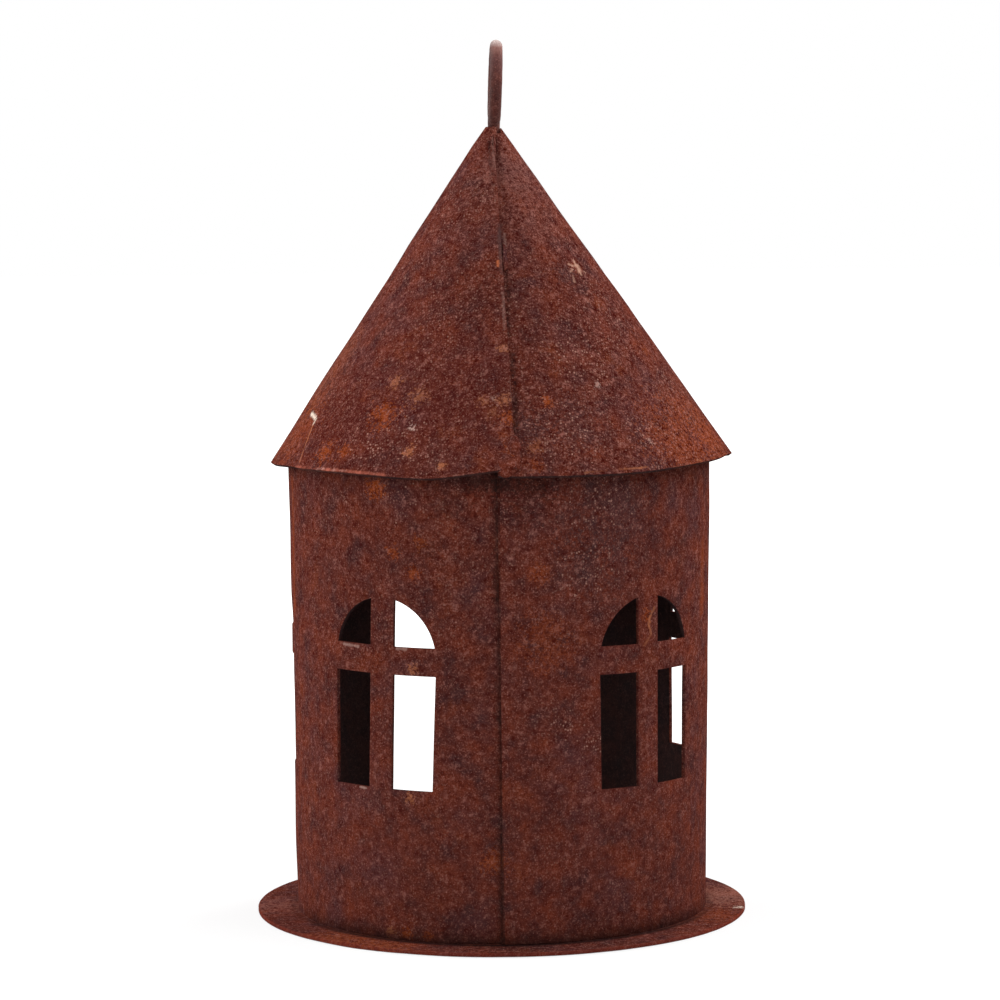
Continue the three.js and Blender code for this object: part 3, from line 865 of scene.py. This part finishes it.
# The cone is shaped with its eave at height 0 and then set on the wall. Only the edge of the eave lies
# under the first of these two heights, also where it is lifted, and only the tip over the second.
tip_height = (EAVE_RADIUS - TIP_RADIUS) / math.tan(ROOF_HALF_ANGLE)
eave_row_top = ROOF_ROW * EAVE_ROW_SHARE
tip_row_foot = tip_height - ROOF_ROW / 2
up_the_roof = Vector((0, math.sin(ROOF_HALF_ANGLE), math.cos(ROOF_HALF_ANGLE)))


def turn_of(place):
    """Turn in degrees round the tower, from the side of the seams."""
    return math.degrees(math.atan2(place.x, -place.y))


def off_the_roof(turn):
    """The direction straight out of the cone at that turn."""
    out = math.cos(ROOF_HALF_ANGLE)
    return Vector((out * math.sin(turn), -out * math.cos(turn), math.sin(ROOF_HALF_ANGLE)))


bpy.ops.object.select_all(action="DESELECT")
bpy.ops.mesh.primitive_cone_add(
    vertices=ROOF_SIDES,
    radius1=EAVE_RADIUS,
    radius2=TIP_RADIUS,
    depth=tip_height,
    end_fill_type="NOTHING",
    location=(0, 0, tip_height / 2),
)
roof = bpy.context.object
roof.name = "roof"
bpy.ops.object.transform_apply()
bpy.ops.object.mode_set(mode="EDIT")
for step in range(1, round(tip_height / ROOF_ROW)):
    bpy.ops.mesh.select_all(action="SELECT")
    bpy.ops.mesh.bisect(plane_co=(0, 0, ROOF_ROW * step), plane_no=(0, 0, 1))
choose(roof, lambda place: OVER_FROM_TURN + TURN_SLACK < turn_of(place) < UNDER_FROM_TURN - TURN_SLACK)
bpy.ops.mesh.delete(type="VERT")
bpy.ops.object.mode_set(mode="OBJECT")

for from_turn, onward, lift, lift_span in (
    (OVER_FROM_TURN, 1, OVER_LIFT, OVER_LIFT_SPAN),
    (UNDER_FROM_TURN, -1, UNDER_LIFT, UNDER_LIFT_SPAN),
):
    choose(roof, lambda place: abs(turn_of(place) - from_turn) < TURN_SLACK)
    risen = 0
    for step in range(1, ROOF_LAP_STEPS + 1):
        bpy.ops.mesh.extrude_region()
        bpy.ops.transform.rotate(
            value=-math.radians(onward * ROOF_LAP_STEP),
            orient_axis="Z",
            center_override=(0, 0, 0),
        )
        eased = min(1, step * ROOF_LAP_STEP / ROOF_EASE_TURN)
        rise = LAP_STEP / 2 * eased * eased * (3 - 2 * eased)
        turn = math.radians(from_turn + onward * step * ROOF_LAP_STEP)
        bpy.ops.transform.translate(value=off_the_roof(turn) * onward * (rise - risen))
        risen = rise
    bpy.ops.transform.vertex_random(offset=SEAM_RAGGED, seed=SEAM_SEED)
    bpy.ops.object.mode_set(mode="OBJECT")
    chosen = [vertex.index for vertex in roof.data.vertices if vertex.select]
    lowest = min(chosen, key=lambda index: roof.data.vertices[index].co.z)
    corner = roof.data.vertices[lowest].co.copy()
    choose(roof, lambda place: (place - corner).length < SAME_PLACE)
    bpy.ops.transform.translate(
        value=up_the_roof * lift,
        use_proportional_edit=True,
        use_proportional_connected=True,
        proportional_edit_falloff="LINEAR",
        proportional_size=lift_span,
    )
    bpy.ops.object.mode_set(mode="OBJECT")
for bend in EAVE_BENDS:
    choose(
        roof,
        lambda place: place.z < eave_row_top and abs(turn_of(place) - bend["turn"]) < EAVE_BEND_REACH,
    )
    slope = Matrix.Rotation(math.radians(bend["turn"]), 3, "Z")
    bpy.ops.transform.translate(
        value=slope @ (up_the_roof * bend["up"] + Vector((0, -bend["out"], 0))),
        use_proportional_edit=True,
        use_proportional_connected=True,
        proportional_edit_falloff="SMOOTH",
        proportional_size=bend["span"],
    )
    bpy.ops.object.mode_set(mode="OBJECT")
choose(roof, lambda place: place.z > tip_row_foot and TIP_PINCH_FROM < turn_of(place) < TIP_PINCH_TO)
bpy.ops.transform.translate(value=TIP_PINCH)
choose(roof, lambda place: place.z > tip_row_foot and TIP_NOTCH_FROM < turn_of(place) < TIP_NOTCH_TO)
bpy.ops.transform.translate(value=up_the_roof * -TIP_NOTCH)
bpy.ops.object.mode_set(mode="OBJECT")
dent(roof, dents("roof_unevenness", ROOF_DENT_SIZE), ROOF_DENT)
fix(roof, "SOLIDIFY", thickness=SHEET, offset=-1)
round_edges(roof, SHEET_ROUNDING, SHEET_ROUNDING_STEPS, ROOF_SHARP_EDGE)
roof_place = Matrix.Translation((ROOF_SHIFT, 0, EAVE_HEIGHT)) @ Matrix.Rotation(-ROOF_LEAN, 4, "Y")
roof.data.transform(roof_place)
bpy.ops.object.shade_smooth_by_angle(angle=SMOOTH_EDGE)
roof.data.materials.append(
    rust(
        "rusted_roof",
        seed=7,
        grain=1.55,
        orange=0.5,
        specks=0.7,
        painted_inside_shade=0.7,
        smoother=("side", -0.020, 0.030, 0.78),
        spots=(
            # The deep red spots over the lower middle and the dark spot low on the left are painted shade,
            # and the flank spots are painted light.
            ((0.0026, -0.0092, 0.1819), 0.0090, TIP_RUST, 0.5),
            ((0.0080, -0.0150, 0.1712), 0.0090, DULL_RUST, 0.4),
            ((-0.0397, -0.0272, 0.1243), 0.0110, SOOT_AND_PAINTED_SHADE, 0.35),
            ((-0.0409, -0.0275, 0.1220), 0.0140, RED_PAINTED_SHADE, 0.7),
            ((-0.0440, -0.0074, 0.1295), 0.0080, FLANK_PAINTED_LIGHT, 0.35),
            ((-0.0378, -0.0065, 0.1391), 0.0080, FLANK_PAINTED_LIGHT, 0.35),
            ((0.0404, -0.0237, 0.1279), 0.0080, FLANK_PAINTED_LIGHT, 0.15),
            ((0.0456, -0.0158, 0.1260), 0.0080, FLANK_PAINTED_LIGHT, 0.15),
            ((0.0156, -0.0205, 0.1581), 0.0035, VIOLET, 0.5),
            ((0.0167, -0.0186, 0.1591), 0.0006, FLAKE, 0.7),
            ((0.0199, -0.0157, 0.1587), 0.0005, FLAKE, 0.6),
            ((-0.0230, -0.0380, 0.1290), 0.0200, RED_PAINTED_SHADE, 0.55),
            ((-0.0060, -0.0430, 0.1290), 0.0160, RED_PAINTED_SHADE, 0.5),
            ((0.0400, -0.0330, 0.1175), 0.0110, ORANGE, 0.35),
            ((0.0500, -0.0180, 0.1185), 0.0090, ORANGE, 0.4),
            ((-0.0500, -0.0100, 0.1200), 0.0100, ORANGE, 0.3),
            ((-0.0070, -0.0278, 0.1537), 0.0080, SOOT_AND_PAINTED_SHADE, 0.3),
            ((0.0024, -0.0493, 0.1234), 0.0050, VIOLET, 0.5),
            ((0.0150, -0.0467, 0.1242), 0.0080, VIOLET, 0.4),
            ((-0.0298, -0.0366, 0.1260), 0.0036, ORANGE, 0.6),
            ((-0.0265, -0.0327, 0.1337), 0.0018, TAN, 0.6),
            ((-0.0215, -0.0385, 0.1308), 0.0022, TAN, 0.5),
            ((-0.0435, -0.0305, 0.1167), 0.0028, ORANGE, 0.6),
            ((-0.0390, -0.0354, 0.1174), 0.0020, ORANGE, 0.5),
            ((-0.0241, -0.0465, 0.1183), 0.0015, TAN, 0.8),
            ((-0.0234, -0.0429, 0.1236), 0.0008, PALE, 0.9),
            ((-0.0168, -0.0518, 0.1154), 0.0012, TAN, 0.9),
            ((-0.0062, -0.0444, 0.1299), 0.0015, TAN, 0.5),
            ((-0.0041, -0.0444, 0.1303), 0.0009, PALE, 0.4),
            ((-0.0015, -0.0449, 0.1299), 0.0018, TAN, 0.65),
            ((-0.0043, -0.0466, 0.1270), 0.0016, TAN, 0.35),
            ((-0.0006, -0.0478, 0.1257), 0.0018, ORANGE, 0.7),
            ((-0.0018, -0.0500, 0.1220), 0.0018, ORANGE, 0.35),
            ((-0.0006, -0.0525, 0.1180), 0.0018, ORANGE, 0.35),
            ((-0.0012, -0.0371, 0.1414), 0.0014, TAN, 0.7),
            ((0.0055, -0.0516, 0.1198), 0.0018, TACK_RUST, 0.5),
            ((0.0052, -0.0546, 0.1154), 0.0018, ORANGE, 0.35),
            ((0.0089, -0.0444, 0.1295), 0.0016, ORANGE, 0.7),
            ((0.0213, -0.0376, 0.1328), 0.0009, PALE, 0.6),
            ((0.0334, -0.0405, 0.1196), 0.0008, PALE, 0.6),
        ),
        lines=(
            ((-0.0462, -0.0121, 0.1247), (-0.0455, -0.0164, 0.1240), 0.0008, CHALK, 1),
            ((-0.0452, -0.0172, 0.1238), (-0.0460, -0.0176, 0.1225), 0.0005, CHALK, 0.8),
            ((-0.0460, -0.0176, 0.1225), (-0.0493, -0.0237, 0.1140), 0.0003, TAN, 0.9),
            ((0.0175, -0.0157, 0.1613), (0.0178, -0.0163, 0.1604), 0.0005, FLAKE, 0.85),
            ((0.0183, -0.0160, 0.1601), (0.0186, -0.0169, 0.1589), 0.0010, FLAKE, 0.9),
            ((0.0186, -0.0169, 0.1589), (0.0192, -0.0173, 0.1580), 0.0005, FLAKE, 0.8),
            ((0.0161, -0.0177, 0.1606), (0.0170, -0.0173, 0.1602), 0.0005, FLAKE, 0.7),
            ((0.0170, -0.0173, 0.1602), (0.0183, -0.0160, 0.1601), 0.0004, FLAKE, 0.7),
            ((0.0171, -0.0195, 0.1579), (0.0173, -0.0205, 0.1565), 0.0005, FLAKE, 0.6),
            # Painted highlight along the lit cut edge of the left eave, with pale dots of painted glints on
            # it.
            ((-0.0503, -0.0236, 0.1126), (-0.0429, -0.0352, 0.1130), 0.0007, EAVE_EDGE_HIGHLIGHT, 0.85),
            ((-0.0429, -0.0352, 0.1130), (-0.0355, -0.0427, 0.1131), 0.0007, EAVE_EDGE_HIGHLIGHT, 0.85),
            ((-0.0355, -0.0427, 0.1131), (-0.0300, -0.0470, 0.1129), 0.0006, EAVE_EDGE_HIGHLIGHT, 0.6),
            ((-0.0452, -0.0319, 0.1129), (-0.0436, -0.0340, 0.1131), 0.0005, PALE, 0.7),
            ((-0.0417, -0.0364, 0.1131), (-0.0410, -0.0372, 0.1130), 0.0005, PALE, 0.6),
            ((-0.0399, -0.0383, 0.1131), (-0.0387, -0.0395, 0.1131), 0.0005, PALE, 0.5),
            ((0.0168, -0.0538, 0.1135), (0.0303, -0.0475, 0.1139), 0.0004, TAN, 0.6),
            ((0.0303, -0.0475, 0.1139), (0.0462, -0.0326, 0.1140), 0.0004, TAN, 0.6),
            # The dark lines along the seam are painted shade beside the lap, and the faint pale lines along
            # it are a painted highlight on its edge.
            ((-0.0019, -0.0043, 0.1898), (-0.0020, -0.0082, 0.1840), 0.0008, SOOT_AND_PAINTED_SHADE, 0.7),
            ((-0.0018, -0.0085, 0.1836), (-0.0018, -0.0127, 0.1774), 0.0010, SOOT_AND_PAINTED_SHADE, 0.5),
            ((-0.0004, -0.0178, 0.1699), (-0.0006, -0.0229, 0.1624), 0.0012, VIOLET, 0.7),
            ((-0.0006, -0.0193, 0.1688), (-0.0006, -0.0258, 0.1593), 0.0012, SEAM_GREY, 0.35),
            ((0.0005, -0.0185, 0.1680), (0.0006, -0.0204, 0.1652), 0.0005, PALE, 0.2),
            ((-0.0015, -0.0240, 0.1617), (-0.0015, -0.0248, 0.1607), 0.0005, BRIGHT_RUST, 0.75),
            ((0.0005, -0.0245, 0.1601), (0.0006, -0.0295, 0.1527), 0.0010, SOOT_AND_PAINTED_SHADE, 0.8),
            ((0.0004, -0.0298, 0.1523), (0.0003, -0.0347, 0.1450), 0.0009, SOOT_AND_PAINTED_SHADE, 0.8),
            ((0.0010, -0.0378, 0.1404), (0.0010, -0.0408, 0.1359), 0.0011, SOOT_AND_PAINTED_SHADE, 0.85),
            ((0.0012, -0.0418, 0.1346), (0.0009, -0.0490, 0.1238), 0.0012, SOOT_AND_PAINTED_SHADE, 0.9),
            ((-0.0015, -0.0042, 0.1910), (-0.0012, -0.0090, 0.1841), 0.0004, PALE, 0.12),
            ((-0.0006, -0.0290, 0.1545), (-0.0007, -0.0348, 0.1460), 0.0005, PALE, 0.14),
            ((0.0002, -0.0419, 0.1356), (0.0003, -0.0458, 0.1297), 0.0004, PALE, 0.12),
        ),
        frosts=(
            ((-0.0320, -0.0400, 0.1190), 0.0080),
            ((-0.0240, -0.0460, 0.1180), 0.0070),
            ((0.0125, -0.0475, 0.1230), 0.0080),
            ((0.0300, -0.0400, 0.1215), 0.0040),
            ((0.0160, -0.0350, 0.1400), 0.0080),
        ),
    )
)
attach(roof, "root")
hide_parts("roof_cone")


# Hanging loop: one length of round wire. Its stem stands in the tip of the roof, flares to the
# back and goes round into an eye whose end comes to rest by the stem.
WIRE = 0.003
EYE_RADIUS = 0.00922
EYE_RISE = 0.00006
EYE_JOIN_TURN = 50
EYE_END_TURN = 340
EYE_ARCS = 6
STEM_LENGTH = 0.009
STEM_FOOT_PULL = 0.0018
STEM_TOP_PULL = 0.0027
WIRE_STEPS = 16
WIRE_ROUNDNESS = 6
WIRE_SMOOTH_EDGE = math.radians(50)
LOOP_LEAN = math.radians(3)
LOOP_TURN = math.radians(-2.1)
LOOP_SHIFT = 0.0003
WIRE_LUMPS = 0.00012
WIRE_LUMP_SIZE = 0.002
LOOP_SHADE_HEIGHT = 0.1950
TOP_HIGHLIGHT_RUST = (0.38, 0.185, 0.145)
TOP_HIGHLIGHT_PALE = (0.80, 0.700, 0.660)
TOP_HIGHLIGHT_FADE = (0.15, 0.058, 0.052)

eye_height = EYE_RADIUS + WIRE / 2 + EYE_RISE


def on_loop(across, height):
    """A place on the leaning plane of the loop."""
    return Vector((max(height, 0) * math.tan(LOOP_LEAN), across, height))


def on_eye(turn, pull=0):
    """A place on the eye at that turn, or one drawn along the wire from it."""
    turn = math.radians(turn)
    across = EYE_RADIUS * math.sin(turn) + pull * math.cos(turn)
    return on_loop(across, eye_height - EYE_RADIUS * math.cos(turn) + pull * math.sin(turn))


def close_up():
    """Merges the places of the active piece that lie together and turns all its faces outwards."""
    bpy.ops.object.mode_set(mode="EDIT")
    bpy.ops.mesh.select_all(action="SELECT")
    bpy.ops.mesh.remove_doubles(threshold=SAME_PLACE)
    bpy.ops.mesh.normals_make_consistent()
    bpy.ops.object.mode_set(mode="OBJECT")


bpy.ops.object.select_all(action="DESELECT")
bpy.ops.curve.primitive_bezier_curve_add()
loop = bpy.context.object
loop.name = "loop"
eye_step = (EYE_END_TURN - EYE_JOIN_TURN) / EYE_ARCS
eye_pull = 4 / 3 * math.tan(math.radians(eye_step) / 4) * EYE_RADIUS
join_pull = EYE_RADIUS / 3
stem_foot = -STEM_LENGTH
bends = [
    (on_loop(0, stem_foot - STEM_FOOT_PULL), on_loop(0, stem_foot), on_loop(0, stem_foot + STEM_FOOT_PULL)),
    (on_loop(0, -STEM_TOP_PULL), on_loop(0, 0), on_loop(0, WIRE)),
]
for arc in range(EYE_ARCS + 1):
    turn = EYE_JOIN_TURN + eye_step * arc
    before = join_pull if arc == 0 else eye_pull
    bends.append((on_eye(turn, -before), on_eye(turn), on_eye(turn, eye_pull)))
wire = loop.data.splines[0].bezier_points
wire.add(len(bends) - len(wire))
for bend, (before, at, after) in zip(wire, bends):
    bend.handle_left_type = "FREE"
    bend.handle_right_type = "FREE"
    bend.handle_left = before
    bend.co = at
    bend.handle_right = after
loop.data.resolution_u = WIRE_STEPS
loop.data.bevel_depth = WIRE / 2
loop.data.bevel_resolution = WIRE_ROUNDNESS
loop.data.use_fill_caps = True
bpy.ops.object.convert(target="MESH")
loop.data.transform(Matrix.Translation((LOOP_SHIFT, 0, tip_height)) @ Matrix.Rotation(LOOP_TURN, 4, "Z"))
loop.data.transform(roof_place)
bpy.ops.object.transform_apply()
close_up()
dent(loop, dents("wire_unevenness", WIRE_LUMP_SIZE), WIRE_LUMPS)
bpy.ops.object.shade_smooth_by_angle(angle=WIRE_SMOOTH_EDGE)
loop_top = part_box("hanging_loop")[1][2]
loop.data.materials.append(
    rust(
        "rusted_wire",
        seed=11,
        grain=0.9,
        orange=0.2,
        specks=0.3,
        shine=0.2,
        painted_left_shade=0.55,
        # Bands of painted highlight over the top of the eye, fading down the wire, and a band of painted
        # shade low by the tip.
        bands=(
            ("height", loop_top, 0.0040, TOP_HIGHLIGHT_RUST, 0.9),
            ("height", loop_top, 0.0016, TOP_HIGHLIGHT_PALE, 0.9),
            ("height", loop_top, 0.0120, TOP_HIGHLIGHT_FADE, 0.5),
            ("height", LOOP_SHADE_HEIGHT, 0.0110, SOOT_AND_PAINTED_SHADE, 0.2),
        ),
    )
)
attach(loop, "root")
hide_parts("hanging_loop")


# Welds: short lumpy beads run by hand inside the foot and the top of the tower, along both laps and
# round the wire under the tip. Each swells from the plain bead into the sheets that it joins, and
# the lower one on the roof has two more tacks.
WELD_GRID = 0.0003
WELD_LUMPS = 0.0009
WELD_LUMP_SIZE = 0.0016
WELD_SWELL = 0.25
WELD_SMOOTHING = 0.5
WELD_SMOOTHINGS = 3
TACKED_WELD = "roof_seam_weld_1"
TACKS = (
    dict(place=(-0.0016, -0.0541, 0.1156), size=(0.0025, 0.0012, 0.0030)),
    dict(place=(0.0003, -0.0517, 0.1195), size=(0.0015, 0.0011, 0.0030)),
)

weld_lumps = dents("weld_lumps", WELD_LUMP_SIZE)
weld_rust = rust("rusted_weld", seed=13, grain=1.2, orange=0.7, specks=0.3)
for name in sorted(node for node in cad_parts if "weld" in node):
    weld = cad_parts[name].copy()
    weld.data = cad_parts[name].data.copy()
    bpy.context.collection.objects.link(weld)
    weld.name = "bead_" + name
    pick(weld)
    close_up()
    if name == TACKED_WELD:
        for tack in TACKS:
            bpy.ops.mesh.primitive_uv_sphere_add(
                radius=1,
                location=tack["place"],
                rotation=(-ROOF_HALF_ANGLE, 0, 0),
                scale=tack["size"],
            )
            pick(weld, bpy.context.object)
            bpy.ops.object.join()
    fix(weld, "REMESH", mode="VOXEL", voxel_size=WELD_GRID)
    dent(weld, weld_lumps, WELD_LUMPS, WELD_SWELL)
    fix(weld, "SMOOTH", factor=WELD_SMOOTHING, iterations=WELD_SMOOTHINGS)
    bpy.ops.object.shade_smooth()
    weld.data.materials.clear()
    weld.data.materials.append(weld_rust)
    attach(weld, "root")
    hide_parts(name)
